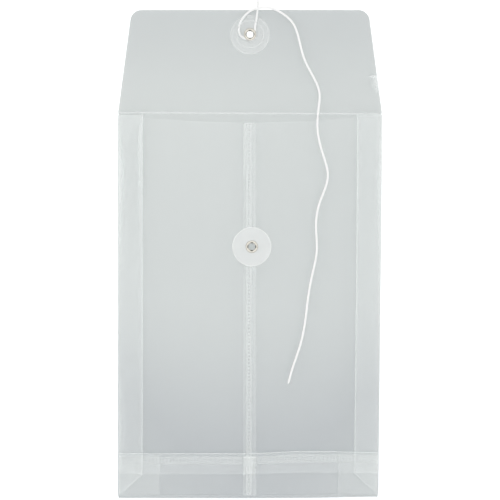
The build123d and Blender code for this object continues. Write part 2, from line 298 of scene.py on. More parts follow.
class Nodes:
    """The nodes of one material or of the world."""

    def __init__(self, owner: bpy.types.Material | bpy.types.World):
        """Starts the owner's node tree afresh.

        Args:
            owner: The material or world.
        """
        owner.use_nodes = True
        self.owner = owner
        self.tree = owner.node_tree
        self.tree.nodes.clear()

    def node(self, kind: str, settings: dict | None = None, inputs: dict | None = None) -> bpy.types.Node:
        """Adds a node, sets it and feeds its sockets.

        Args:
            kind: The node's type.
            settings: Its properties.
            inputs: A value, Term or output for each socket, by name or number.

        Returns:
            The new node.
        """
        made = self.tree.nodes.new(kind)
        for name, value in (settings or {}).items():
            setattr(made, name, value)
        for name, value in (inputs or {}).items():
            source = value.socket if isinstance(value, Term) else value
            if isinstance(source, bpy.types.NodeSocket):
                self.tree.links.new(source, made.inputs[name])
            else:
                made.inputs[name].default_value = source
        return made

    def mark(self, name: str) -> Term:
        """Reads a value that the piece's points carry."""
        return Term(self, self.node("ShaderNodeAttribute", {"attribute_name": name}).outputs["Fac"])

    def place(self, stretch: tuple[float, float, float] = (1, 1, 1)) -> bpy.types.NodeSocket:
        """The point's place on the object, stretched along each axis."""
        here = self.node("ShaderNodeTexCoord").outputs["Object"]
        return self.node("ShaderNodeMapping", None, {"Vector": here, "Scale": stretch}).outputs["Vector"]

    def axis(self, name: str) -> Term:
        """One coordinate of the point's place: X, Y or Z."""
        return Term(self, self.node("ShaderNodeSeparateXYZ", None, {0: self.place()}).outputs[name])

    def noise(self, where: bpy.types.NodeSocket, scale: float, detail: int = 2, rough: float = 0.5) -> Term:
        """Soft noise between 0 and 1, scale patches to the metre."""
        inputs = {"Vector": where, "Scale": scale, "Detail": detail, "Roughness": rough}
        return Term(self, self.node("ShaderNodeTexNoise", None, inputs).outputs["Fac"])

    def glance(self) -> Term:
        """0 where the surface is seen straight on, rising to 1 at its rim as a mirror's share does."""
        facing = self.node("ShaderNodeLayerWeight", None, {"Blend": 0.5}).outputs["Facing"]
        return Term(self, facing) ** MIRROR_POWER

    def shadowed(self, share: float) -> Term:
        """1 for rays that show this surface, and a share for those that gather light for another one.

        Args:
            share: How much of its shadow the surface casts.

        Returns:
            The factor for its opacity.
        """
        path = self.node("ShaderNodeLightPath").outputs
        light = Term(self, path["Is Shadow Ray"]).raised(Term(self, path["Is Diffuse Ray"]))
        return 1 - (1 - share) * light

    def bump(self, height: Term, depth: float, strength: float = 1) -> bpy.types.NodeSocket:
        """Turns a height pattern into a normal."""
        inputs = {"Height": height, "Distance": depth, "Strength": strength}
        return self.node("ShaderNodeBump", None, inputs).outputs["Normal"]

    def tinted(self, factor: Term, low: tuple, high: tuple) -> bpy.types.NodeSocket:
        """A colour between two, by a factor. Sockets 6 and 7 take the colours."""
        inputs = {"Factor": factor, 6: (*low, 1), 7: (*high, 1)}
        return self.node("ShaderNodeMix", {"data_type": "RGBA"}, inputs).outputs[2]

    def mixed(self, factor: Term, first: bpy.types.Node, second: bpy.types.Node) -> bpy.types.Node:
        """A shader between two, by a factor."""
        inputs = {"Fac": factor, 1: first.outputs[0], 2: second.outputs[0]}
        return self.node("ShaderNodeMixShader", None, inputs)

    def show(self, shader: bpy.types.Node, output: str = "ShaderNodeOutputMaterial") -> None:
        """Sends a shader to the output."""
        self.node(output, None, {"Surface": shader.outputs[0]})

    def principled(self, inputs: dict) -> bpy.types.Material:
        """Shows a Principled shader with these inputs and gives back the material."""
        self.show(self.node("ShaderNodeBsdfPrincipled", None, inputs))
        return self.owner


@dataclass(frozen=True)
class FilmFinish:
    """Clear polypropylene film: each face mirrors and hazes a little, more along creases and cuts and where
    highlights are painted.
    """

    name: str = "clear_film"
    tint: tuple = (0.925, 0.955, 0.95)
    mirror: float = 0.018
    haze: float = 0.017
    whitening: float = 0.3
    gloss_roughness: float = 0.15
    streak_stretch: tuple = (1, 0.12, 1)
    streak_scale: float = 260
    streak_haze: tuple = (0.8, 0.4)
    streak_roughness: float = 0.05
    wave_scale: float = 9
    wave_depth: float = 0.25 * MM
    shadow_share: float = 1.0

    def material(self) -> bpy.types.Material:
        """Builds the finish.

        Returns:
            A material whose opacity is mirror plus haze, with the mirror's part of it as metallic share.
        """
        nodes = Nodes(bpy.data.materials.new(self.name))
        mirror = self.mirror + (1 - self.mirror) * nodes.glance()
        streaks = nodes.noise(nodes.place(self.streak_stretch), self.streak_scale, detail=3)
        even, streaked = self.streak_haze
        # The crease mark whitens the haze: along creases, cuts and welds, and as painted highlights beside
        # the folds, on the flap's edge and beside the gussets' inner creases.
        haze = self.haze * (even + streaked * streaks) + self.whitening * nodes.mark("crease")
        waves = nodes.noise(nodes.place(), self.wave_scale, detail=1)
        return nodes.principled(
            {
                "Base Color": (*self.tint, 1),
                "Metallic": mirror / (mirror + haze),
                "Roughness": self.gloss_roughness + self.streak_roughness * streaks,
                "Alpha": (mirror + haze).capped(1.0) * nodes.shadowed(self.shadow_share),
                "Normal": nodes.bump(waves, self.wave_depth),
            }
        )


@dataclass(frozen=True)
class FrostFinish:
    """A round of frosted polypropylene sheet: milky, finely grained, whiter along its cut rim.

    Light that passes through it is scattered and not lost, so its shadow is much lighter than itself.
    """

    name: str
    opacity: float
    middle: tuple
    radius: float
    pale: tuple = (0.78, 0.805, 0.8)
    white: tuple = (0.84, 0.855, 0.85)
    shadow_share: float = 0.2
    rim: float = 0.4
    rim_width: float = 0.7 * MM
    rim_full_share: float = 0.2
    roughness: float = 0.38
    gloss: float = 0.4
    cloud_scale: float = 180
    grain_scale: float = 2600
    grain_roughness: float = 0.2
    grain_depth: float = 0.03 * MM
    grain_strength: float = 0.4

    def material(self) -> bpy.types.Material:
        """Builds the finish.

        Returns:
            A milky material with a fine grain and soft cloudiness.
        """
        nodes = Nodes(bpy.data.materials.new(self.name))
        grain = nodes.noise(nodes.place(), self.grain_scale, detail=3)
        clouds = nodes.noise(nodes.place(), self.cloud_scale)
        x, y = nodes.axis("X") - self.middle[0], nodes.axis("Y") - self.middle[1]
        out = (x * x + y * y) ** 0.5
        rim = out.eased(self.radius - self.rim_width, self.radius - self.rim_full_share * self.rim_width)
        milk = self.opacity + (1 - self.opacity) * nodes.glance().raised(self.rim * rim)
        return nodes.principled(
            {
                "Base Color": nodes.tinted(clouds.raised(rim), self.pale, self.white),
                "Roughness": self.roughness + self.grain_roughness * grain,
                "Alpha": milk * nodes.shadowed(self.shadow_share),
                "Specular IOR Level": self.gloss,
                "Normal": nodes.bump(grain, self.grain_depth, self.grain_strength),
            }
        )


@dataclass(frozen=True)
class NickelFinish:
    """Nickel plate: bright and a little warm, with fine drawing lines round the barrel and dull spots.

    Its shadow is lightened, for the light that a bright eyelet throws on the frosted sheet about it.
    """

    name: str = "nickel_plate"
    bright: tuple = (0.62, 0.6, 0.54)
    # dull: the colour of the plate's dull spots and of the painted dark reflection in its lip.
    dull: tuple = (0.09, 0.085, 0.07)
    shadow_share: float = 0.05
    roughness: float = 0.22
    spot_scale: float = 900
    spot_dullness: float = 0.25
    spot_roughness: float = 0.25
    line_stretch: tuple = (1, 1, 14)
    line_scale: float = 700
    line_depth: float = 0.01 * MM
    line_strength: float = 0.3

    def material(self) -> bpy.types.Material:
        """Builds the finish.

        Returns:
            A metal that varies in colour and gloss.
        """
        nodes = Nodes(bpy.data.materials.new(self.name))
        spots = nodes.noise(nodes.place(), self.spot_scale, detail=4, rough=0.6)
        lines = nodes.noise(nodes.place(self.line_stretch), self.line_scale)
        # The lip's mark darkens the metal as a painted dark reflection; the noise spots are the plate's own
        # dull patches.
        dullness_and_dark_reflection = (self.spot_dullness * spots + nodes.mark("dark_reflection")).capped(1.0)
        return nodes.principled(
            {
                "Base Color": nodes.tinted(dullness_and_dark_reflection, self.bright, self.dull),
                "Metallic": 1.0,
                "Roughness": self.roughness + self.spot_roughness * spots * lines,
                "Alpha": nodes.shadowed(self.shadow_share),
                "Normal": nodes.bump(lines, self.line_depth, self.line_strength),
            }
        )


@dataclass(frozen=True)
class StringFinish:
    """White twisted string: fine fibres along its strands, with painted shade in the grooves."""

    name: str = "white_string"
    crown: tuple = (0.985, 0.985, 0.98)
    # groove: the colour in the grooves between strands, darker as painted shade.
    groove: tuple = (0.9, 0.9, 0.895)
    groove_shade_share: float = 0.75
    roughness: float = 0.78
    gloss: float = 0.2
    sheen: float = 0.3
    sheen_roughness: float = 0.5
    fibre_scale: float = 9
    fibre_stretch: float = 0.25
    fibre_share: float = 0.4
    fibre_roughness: float = 0.15
    fibre_depth: float = 0.05 * MM
    fibre_strength: float = 0.6

    def material(self) -> bpy.types.Material:
        """Builds the finish.

        Returns:
            A soft fibrous material that follows the strands.
        """
        nodes = Nodes(bpy.data.materials.new(self.name))
        crown = nodes.mark("crown")
        inputs = {"X": nodes.mark("run") * self.fibre_stretch, "Y": nodes.mark("turn")}
        twist = nodes.node("ShaderNodeCombineXYZ", None, inputs).outputs[0]
        fibres = nodes.noise(twist, self.fibre_scale, detail=4, rough=0.65)
        # Painted shade darkens the grooves between the strands, and the fibres vary the tone.
        fibre_tone_and_groove_shade = (crown * self.groove_shade_share + fibres * self.fibre_share).capped(1.0)
        return nodes.principled(
            {
                "Base Color": nodes.tinted(fibre_tone_and_groove_shade, self.groove, self.crown),
                "Roughness": self.roughness + self.fibre_roughness * fibres,
                "Specular IOR Level": self.gloss,
                "Sheen Weight": self.sheen,
                "Sheen Roughness": self.sheen_roughness,
                "Normal": nodes.bump(fibres, self.fibre_depth, self.fibre_strength),
            }
        )


@dataclass(frozen=True)
class Places:
    """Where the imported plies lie: middles of the film, edges and folds."""

    film: float
    fold_x: float
    side_x: float
    gusset_x: float
    seam_left_x: float
    seam_right_x: float
    weld_x: float
    side_tab_x: float
    bottom_fold_y: float
    base_fold_y: float
    rear_fold_y: float
    crease_y: float
    tip_y: float
    mouth_y: float
    front_tab_end_y: float
    rear_tab_end_y: float
    rear_tab_z: float
    front_tab_z: float
    side_tab_z: float
    corner_z: float
    rear_fold_z: float
    back_z: float
    gusset_rear_z: float
    gusset_front_z: float
    front_z: float

    @classmethod
    def read(cls) -> "Places":
        """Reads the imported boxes.

        Returns:
            The places, in metres.
        """
        back_low, back_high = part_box("back_panel")
        flap_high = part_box("flap_panel")[1]
        front_low, front_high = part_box("front_panel_left")
        tab_low, tab_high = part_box("base_front_tab")
        rear_tab_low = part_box("base_rear_tab")[0]
        side_low, side_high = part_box("base_side_tab_right")
        half = (back_high.z - back_low.z) / 2
        lap_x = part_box("front_panel_right")[0].x
        return cls(
            film=2 * half,
            fold_x=back_high.x,
            side_x=flap_high.x,
            gusset_x=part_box("gusset_right_front")[0].x,
            seam_left_x=lap_x,
            seam_right_x=front_high.x,
            weld_x=(lap_x + front_high.x) / 2 + SEAM_WELD_OFFSET,
            side_tab_x=side_low.x,
            bottom_fold_y=front_low.y,
            base_fold_y=side_high.y,
            rear_fold_y=back_low.y + REAR_FOLD_RISE,
            crease_y=back_high.y,
            tip_y=flap_high.y,
            mouth_y=front_high.y,
            front_tab_end_y=tab_high.y,
            rear_tab_end_y=rear_tab_low.y,
            rear_tab_z=rear_tab_low.z + half,
            front_tab_z=tab_low.z + half,
            side_tab_z=side_low.z + half,
            corner_z=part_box("base_corner_left")[0].z + half,
            rear_fold_z=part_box("rear_fold")[0].z + half,
            back_z=back_low.z + half,
            gusset_rear_z=(back_low.z + half) + (front_low.z - back_low.z) / 3,
            gusset_front_z=(back_low.z + half) + (front_low.z - back_low.z) * 2 / 3,
            front_z=front_low.z + half,
        )


@dataclass(frozen=True)
class WeldBar:
    """A welding bar's mark: its width, the film between the ridges, and the oval cells.

    A cell's hollow, full rim and stop are places from its middle outwards, as shares of half a pitch. The
    breadth is the oval's, and hollow_white is how white the hollow is beside the rim.
    """

    width: float
    depth: float
    hollow: float
    full: float
    stop: float
    breadth: float
    hollow_white: float
    soft: float = 0.3
    pitch: float = 2.08 * MM

    def pressed(self, along: np.ndarray, across: np.ndarray) -> np.ndarray:
        """The ridges' height, 0 to 1: oval rims in a chain, by the distance from each cell's middle."""
        out = np.hypot(2 * ((along / self.pitch) % 1) - 1, across / self.breadth)
        return smoothstep(self.hollow, self.full, out) * smoothstep(self.stop, self.stop - self.soft, out)


SEAM_BAR = WeldBar(3.6 * MM, 0.03 * MM, hollow=0.35, full=0.8, stop=4.0, breadth=0.45, hollow_white=0.2)
BASE_BAR = WeldBar(4.8 * MM, 0.12 * MM, hollow=0.42, full=0.8, stop=1.35, breadth=0.9, hollow_white=0.1)


@dataclass
class Film:
    """The film that every sheet is cut from, and how it lies on the table."""

    places: Places
    finish: bpy.types.Material
    taper: float = 2.3 * MM
    taper_from_share: float = 0.1
    taper_power: float = 1.25
    corner_lift: float = 0.8 * MM
    corner_from_share: float = 0.35
    base_rise: float = 1.65 * MM
    base_rise_x: float = 34 * MM
    base_rise_reach: tuple = (24 * MM, 45 * MM, 15 * MM)
    least_rise: float = 0.15
    # Painted highlights beside the outer folds, stronger in some stretches along Y than in others.
    highlight_reach: tuple = (2.8 * MM, 1.6 * MM)
    highlight_y: tuple = (-145, -130, -113, -84, -64, -13, 3, 27, 42, 57, 69, 84)
    highlight_left: tuple = (0.0, 0.1, 0.4, 0.4, 0.0, 0.05, 0.5, 1.0, 2.0, 1.5, 0.3, 0.2)
    highlight_right: tuple = (0.2, 0.2, 0.2, 0.2, 0.2, 0.3, 0.4, 0.7, 1.0, 0.8, 0.4, 0.3)
    step: float = 5 * MM
    fold_fine: float = 4 * MM

    def lying(self, grid: np.ndarray) -> np.ndarray:
        """Draws the right side in towards the bottom, as the pocket lies, and lifts the base.

        The shift grows with X's share of the width and the depth below the mouth. The lift is a bell curve.

        Args:
            grid: Points of a flat sheet.

        Returns:
            The points where they lie.
        """
        places = self.places
        x, y = grid[..., 0], grid[..., 1]
        rightness = smoothstep(self.taper_from_share * places.side_x, places.side_x, x)
        below = (places.mouth_y - y) / (places.mouth_y - places.bottom_fold_y)
        down = np.clip(below, 0, 1) ** self.taper_power
        reach_left, reach_right, reach_y = self.base_rise_reach
        reach_x = np.where(x < self.base_rise_x, reach_left, reach_right)
        rise = np.maximum(self.least_rise, near(x, self.base_rise_x, reach_x))
        rise *= near(y, places.base_fold_y, reach_y)
        corner = smoothstep(self.corner_from_share * places.side_x, places.side_x, x)
        corner *= smoothstep(places.base_fold_y, places.bottom_fold_y, y)
        shift = np.zeros_like(grid)
        shift[..., 0] = -self.taper * rightness * down
        shift[..., 1] = self.corner_lift * corner + self.base_rise * rise
        return grid + shift

    def fold_highlight(self, x: np.ndarray, y: np.ndarray) -> np.ndarray:
        """The painted highlight that the outer folds put on the ply beside them: exp(-distance / reach), by
        stretches.

        Args:
            x: Places across the ply.
            y: Places along it.

        Returns:
            The painted highlight.
        """
        reach = np.where(x < 0, *self.highlight_reach)
        stretches = np.array(self.highlight_y) * MM
        left, right = (np.interp(y, stretches, glow) for glow in (self.highlight_left, self.highlight_right))
        return np.where(x < 0, left, right) * np.exp(-np.abs(self.places.fold_x - np.abs(x)) / reach)

    def piece(
        self,
        name: str,
        middle: np.ndarray,
        nodes: list[str],
        crease: np.ndarray | float,
        kept: np.ndarray | None = None,
    ) -> bpy.types.Object:
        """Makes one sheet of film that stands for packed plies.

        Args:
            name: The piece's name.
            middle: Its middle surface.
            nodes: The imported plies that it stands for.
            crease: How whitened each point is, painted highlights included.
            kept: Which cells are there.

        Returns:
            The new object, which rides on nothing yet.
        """
        points, faces = thin_sheet(self.lying(middle), self.places.film, kept)
        marks = np.broadcast_to(crease, middle.shape[:2]).ravel()
        sheet = place_piece(name, points, faces, {"crease": np.tile(marks, 2)})
        sheet.data.materials.append(self.finish)
        if nodes:
            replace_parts(sheet, *nodes)
        return sheet


@dataclass
class EyeletHole:
    """A round hole in a sheet's grid: a square of cells is left out and its rim is drawn round."""

    x: float
    y: float
    radius: float = 2.5 * MM
    cell: float = 1.5 * MM
    rim_cells: int = 2
    rim_tolerance: float = 1.001
    reach_cells: int = 6
    clear_cells: float = 0.4

    @classmethod
    def about(cls, eyelet: str) -> "EyeletHole":
        """The hole for a packed eyelet."""
        middle = (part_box(eyelet)[0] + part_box(eyelet)[1]) / 2
        return cls(middle.x, middle.y)

    def merged(self, places: np.ndarray, middle: float) -> np.ndarray:
        """Puts the hole's grid lines on one axis in place of a sheet's own near it.

        Args:
            places: The sheet's grid lines.
            middle: The hole's middle on that axis.

        Returns:
            The grid lines, in rising order.
        """
        lines = middle + self.cell * np.arange(-self.reach_cells, self.reach_cells + 1)
        away = np.abs(places - middle) > self.cell * (self.reach_cells + self.clear_cells)
        return np.sort(np.concatenate([places[away], lines]))

    def cut(self, grid: np.ndarray) -> tuple[np.ndarray, np.ndarray]:
        """Rounds the grid about the hole.

        The square ring of points at c = max(|dx|, |dy|) goes to a circle at the rim and stays square at the
        reach, and in between the two are mixed.

        Args:
            grid: The sheet's points, with the hole's lines among its own.

        Returns:
            The moved points, and which cells are kept.
        """
        rim, reach = self.cell * self.rim_cells, self.cell * self.reach_cells
        dx, dy = grid[..., 0] - self.x, grid[..., 1] - self.y
        square = np.maximum(np.abs(dx), np.abs(dy))
        distance = np.maximum(np.hypot(dx, dy), TINY)
        share = np.clip((square - rim) / (reach - rim), 0, 1)
        scale = np.where(square < reach, (1 - share) * self.radius * square / rim / distance + share, 1)
        moved = grid.copy()
        moved[..., 0] = self.x + dx * scale
        moved[..., 1] = self.y + dy * scale
        inner = square < rim * self.rim_tolerance
        return moved, ~(inner[:-1, :-1] & inner[1:, :-1] & inner[:-1, 1:] & inner[1:, 1:])


@dataclass
class BackSheet:
    """The back panel and the flap: one sheet with a crease, tapered and round-cornered at its tip."""

    film: Film
    hole: EyeletHole
    tip_half_width: float = 71.3 * MM
    corner_radius: float = 5.8 * MM
    corner_rows: int = 14
    corner_gap: float = 0.2 * MM
    straight_half: float = 14 * MM
    crease_bend: float = 2.5 * MM
    crease_fine: float = 1.6 * MM
    crease_reach: float = 0.4 * MM
    crease_depth: float = 0.12 * MM
    crease_drop: float = 0.58 * MM
    crease_lean: float = 0.32 * MM
    crease_white: float = 0.9
    edge_reach: float = 0.35 * MM
    edge_white: float = 0.35
    droop: float = 0.7 * MM
    droop_from_share: float = 0.3
    # The flap's glow and streak by its right edge are a painted highlight.
    streak_y: float = 107.0 * MM
    streak_width: float = 0.6 * MM
    streak_run: float = 9 * MM
    streak_highlight: float = 0.45
    streak_end_highlight: float = 1.2
    glow_end_y: float = 95 * MM
    glow_width: float = 5.5 * MM
    glow_fade: float = 6 * MM
    glow_highlight: float = 0.8
    glow_edge_highlight: float = 0.5

    def half_width(self, y: np.ndarray) -> np.ndarray:
        """The sheet's half width: straight up to the crease, then tapered, less a quarter round at the tip.

        Args:
            y: Places along the sheet.

        Returns:
            The half widths there.
        """
        places = self.film.places
        start = places.tip_y - self.corner_radius
        taper = np.interp(y, [places.crease_y, places.tip_y], [places.side_x, self.tip_half_width])
        widening = smoothstep(places.mouth_y, places.crease_y, y)
        body = places.fold_x + (places.side_x - places.fold_x) * widening
        rise = np.clip((y - start) / self.corner_radius, 0, 1)
        quarter_round = self.corner_radius * (1 - np.sqrt(1 - rise**2))
        return np.where(y < places.crease_y, body, taper - quarter_round)

    def whitening(self, x: np.ndarray, y: np.ndarray, width: np.ndarray, crease: np.ndarray) -> np.ndarray:
        """How white the sheet is along its crease and cut edges, with painted highlights: beside the folds,
        and the flap's glow, which ends in a streak.

        Args:
            x: Places across the sheet.
            y: Places along it.
            width: Its half width there.
            crease: How near the crease each point is.

        Returns:
            The whitening with its painted highlights.
        """
        places = self.film.places
        # Painted highlight by the flap's right edge: a glow that ends in a streak.
        by_edge = smoothstep(width - self.glow_width, width, x)
        tail = smoothstep(width - self.streak_run, width, x)
        streak = self.streak_highlight * tail + self.streak_end_highlight * by_edge
        glow = by_edge * smoothstep(self.glow_end_y, self.glow_end_y + self.glow_fade, y)
        glow *= y < self.streak_y
        bright = near(y, self.streak_y, self.streak_width) * streak
        bright += (self.glow_highlight + self.glow_edge_highlight * by_edge) * glow
        cut_edge = near(np.abs(x), width, self.edge_reach) * (y > places.crease_y)
        return most(
            self.crease_white * crease,
            self.film.fold_highlight(x, y) * (y < places.mouth_y) + bright,
            self.edge_white * cut_edge,
            self.edge_white * near(y, places.tip_y, self.edge_reach),
        )

    def build(self) -> None:
        """Makes the sheet, which dips a little along its crease between the back and the flap."""
        places, edge = self.film.places, self.film.places.fold_x
        start, creases = places.tip_y - self.corner_radius, (places.crease_y, self.streak_y)
        rows = stations(places.rear_fold_y, start, self.film.step, *creases, reach=self.crease_fine)
        rows = self.hole.merged(rows[:-1], self.hole.y)
        corner = start + self.corner_radius * np.sin(np.radians(np.linspace(0, 90, self.corner_rows)))
        corner = corner[corner > rows[rows < start].max()]
        rows = np.concatenate([rows[rows < start - self.corner_gap], corner])
        columns = stations(-edge, edge, self.film.step, -edge, edge, reach=self.film.fold_fine)
        x, y = np.meshgrid(self.hole.merged(columns, self.hole.x), rows)
        width = self.half_width(y)
        outer = (np.abs(x) - self.straight_half) / (edge - self.straight_half)
        spread = np.sign(x) * (self.straight_half + outer * (width - self.straight_half))
        x = np.where(np.abs(x) > self.straight_half, spread, x)
        drop = self.crease_drop + self.crease_lean * x / places.side_x
        on_crease = near(y, places.crease_y - drop, self.crease_reach)
        hang = smoothstep(self.droop_from_share, 1, np.abs(x) / places.side_x)
        hang *= smoothstep(places.crease_y, places.tip_y, y)
        level = places.back_z - self.crease_depth * on_crease - self.droop * hang
        grid, kept = self.hole.cut(np.stack([x, y, level], -1))
        whitened = self.whitening(x, y, width, on_crease)
        sheet = self.film.piece("back_sheet", grid, ["back_panel", "flap_panel"], whitened, kept)
        places.crease_y - self.crease_bend
        places.crease_y + self.crease_bend
        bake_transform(sheet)


@dataclass
class FrontPanel:
    """The front's two halves: the right one steps up and laps over the left one at the seam."""

    film: Film
    hole: EyeletHole
    mouth_dip: float = 4.8 * MM
    mouth_white: float = 0.08
    square_y: float = 60 * MM
    joggle_gap: float = 0.2 * MM
    joggle: float = 0.6 * MM
    edge_reach: float = 0.4 * MM
    edge_white: float = 0.2
    line_x: float = 0.85 * MM
    line_y: tuple = (48 * MM, 62 * MM)
    line_white: float = 0.15
    line_rise: float = 0.7
    lap_white: float = 0.22
    core_rise: float = 0.2
    rise_y: tuple = (-90 * MM, 20 * MM)
    press_white: float = 0.3
    press_core: float = 0.6
    bar_white: float = 1.0

    def mouth(self, x: np.ndarray) -> np.ndarray:
        """The mouth's edge at X: an arc that dips in the middle."""
        radius = (self.film.places.fold_x**2 + self.mouth_dip**2) / (2 * self.mouth_dip)
        return self.film.places.mouth_y - self.mouth_dip + radius - np.sqrt(radius**2 - x**2)

    def lap_whitening(self, x: np.ndarray, y: np.ndarray) -> np.ndarray:
        """How white the lap is: in a line by its edge, under its weld and over the bottom's pressed plies.

        Args:
            x: Places across the panel.
            y: Places along it.

        Returns:
            The whitening, about 0 beside the lap.
        """
        places, reach = self.film.places, self.edge_reach
        left, right = places.seam_left_x, places.seam_right_x
        lap = smoothstep(left, left + reach, x) * smoothstep(right, right - reach, x)
        core = smoothstep(reach / 2, -reach / 2, np.abs(x - places.weld_x) - SEAM_BAR.width / 2)
        end_y = places.front_tab_end_y
        pressed = smoothstep(0, reach, y - places.rear_fold_y) * smoothstep(reach, 0, y - end_y)
        strength = (
            self.lap_white
            + core * self.core_rise * smoothstep(*self.rise_y, y)
            + pressed * (self.press_white + self.press_core * core)
            + self.bar_white * near(y, end_y, reach)
        )
        line = self.line_white + self.line_rise * smoothstep(*self.line_y, y)
        return most(lap * strength, line * near(x, left + self.line_x, reach))

    def half(self, side: Side) -> None:
        """Makes one half, riding on the front.

        Args:
            side: Which half.
        """
        places, step = self.film.places, self.film.step
        outer_x = side.value * places.fold_x
        free_edge = places.seam_right_x if side is Side.LEFT else places.seam_left_x
        ends = sorted((outer_x, free_edge))
        stepped = places.seam_right_x + self.joggle_gap
        core = (places.weld_x - SEAM_BAR.width / 2, places.weld_x + SEAM_BAR.width / 2)
        columns = np.union1d(
            stations(*ends, step, free_edge, stepped + self.joggle / 2, *core),
            stations(*ends, step, outer_x, reach=self.film.fold_fine),
        )
        columns = np.unique(np.clip(self.hole.merged(columns, self.hole.x), *ends))
        creases = (places.mouth_y, places.rear_fold_y, places.front_tab_end_y)
        rows = stations(places.bottom_fold_y, places.mouth_y, step, *creases)
        x, y = np.meshgrid(columns, self.hole.merged(rows, self.hole.y))
        lift = np.clip((y - self.square_y) / (places.mouth_y - self.square_y), 0, 1)
        y = np.where(y > self.square_y, self.square_y + lift * (self.mouth(x) - self.square_y), y)
        level = np.full_like(x, places.front_z)
        # Whitening along the free edge and the mouth, and the painted highlight beside the outer fold.
        whitened = most(
            self.edge_white * near(x, free_edge, self.edge_reach),
            self.mouth_white * near(y, self.mouth(x), self.edge_reach),
            self.film.fold_highlight(x, y),
        )
        if side is Side.RIGHT:
            level += places.film * (1 - smoothstep(stepped, stepped + self.joggle, x))
            whitened = most(whitened, self.lap_whitening(x, y))
        grid, kept = self.hole.cut(np.stack([x, y, level], -1))
        name = f"front_panel_{side.word}"
        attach(self.film.piece(f"front_{side.word}", grid, [name], whitened, kept), Body.FRONT.value)


@dataclass
class Gusset:
    """One side of the pocket, folded inwards in a V: a rear ply off the back, a front ply off the front."""

    film: Film
    side: Side
    run_points: int = 18
    run_power: float = 1.8
    crease_reach: float = 0.35 * MM
    crease_white: float = 0.45
    least_share: float = 0.03
    # Painted highlights beside the inner crease: a fading tail and a spot on the right, a strip on the
    # left.
    tail_reach: float = 1.8 * MM
    tail_highlight: float = 0.2
    spot_highlight: float = 0.6
    spot_y: float = 45 * MM
    spot_reach: float = 18 * MM
    strip_width: float = 3.4 * MM
    strip_full_share: float = 0.5
    strip_run: float = 13 * MM
    strip_highlight: float = 0.2
    strip_rise: float = 0.8
    strip_rise_y: tuple = (0, 60 * MM)
    # haze here is no film haze: it lightens the left front ply towards the top as a painted highlight.
    haze: float = 0.15
    top_highlight_y: tuple = (-30 * MM, 30 * MM)

    def sheen(self, depth: np.ndarray, y: np.ndarray) -> np.ndarray:
        """The painted highlight on the front ply beside its inner crease.

        On the right it fades as exp(-depth / reach). On the left a strip widens from the mouth, then fades,
        over a painted lightening of the upper part.

        Args:
            depth: Distance from the inner crease.
            y: Places along the gusset.

        Returns:
            The painted highlight, from 0 to 1.
        """
        if self.side is Side.RIGHT:
            strength = self.tail_highlight + self.spot_highlight * near(y, self.spot_y, self.spot_reach)
            return strength * np.exp(-np.clip(depth, 0, None) / self.tail_reach)
        mouth = self.film.places.mouth_y
        width = self.strip_width * smoothstep(mouth + self.strip_run / 4, mouth - self.strip_run, y)
        strength = self.strip_highlight + self.strip_rise * smoothstep(*self.strip_rise_y, y)
        strip = strength * smoothstep(width, self.strip_full_share * width, depth)
        return most(strip, self.haze * smoothstep(*self.top_highlight_y, y))

    def build(self) -> None:
        """Makes both plies.

        The rear ply turns from 0 at the outer fold to a half at the inner one, the front ply from there on.
        """
        places, sign, mouth = self.film.places, self.side.value, self.film.places.mouth_y
        rear_z, front_z = places.gusset_rear_z, places.gusset_front_z
        ring = (rear_z - places.back_z) / 2
        inner = places.gusset_x + ring + places.film / 2
        run = inner + (places.fold_x - inner) * np.linspace(1, 0, self.run_points) ** self.run_power
        outside, inside = (-90, 180), (-90, -180)
        rear = [half_ring(places.fold_x, places.back_z + ring, ring, *outside), flat_run(run[1:], rear_z)]
        front = [
            half_ring(inner, rear_z + ring, ring, *inside),
            flat_run(run[::-1][1:-1], front_z),
            half_ring(places.fold_x, front_z + ring, ring, *outside),
        ]
        rear_rows = stations(places.rear_fold_y, mouth, self.film.step, mouth)
        front_rows = stations(places.bottom_fold_y, mouth, self.film.step, mouth, places.rear_fold_y)
        for word, profile, rows in (("rear", rear, rear_rows), ("front", front, front_rows)):
            grid = carried(np.concatenate(profile), rows, 1)
            x, y = grid[..., 0], grid[..., 1]
            below = (y - places.bottom_fold_y) / (places.rear_fold_y - places.bottom_fold_y)
            share = np.clip(below, self.least_share, 1)
            depth = places.fold_x - x
            x[:] = np.where(depth > 0, places.fold_x - depth * share, x)
            on_fold = near(x, places.fold_x - (places.fold_x - inner) * share, self.crease_reach)
            whitened = self.crease_white * most(on_fold * share, near(y, mouth, self.crease_reach))
            # The front ply also gets the painted highlight beside its inner crease.
            if word == "front":
                whitened = most(whitened, self.sheen(x - inner, y))
            x *= sign
            # A mirrored or downward profile is turned round, so that the faces keep facing outwards.
            if (word == "rear") == (self.side is Side.RIGHT):
                grid, whitened = grid[:, ::-1], whitened[:, ::-1]
            ends = [sign * places.side_x, sign * (places.side_x - 2 * (places.side_x - inner))]
            name = f"gusset_{self.side.word}_{word}"
            ply = self.film.piece(f"{name}_ply", grid, [name], whitened)
            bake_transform(ply)


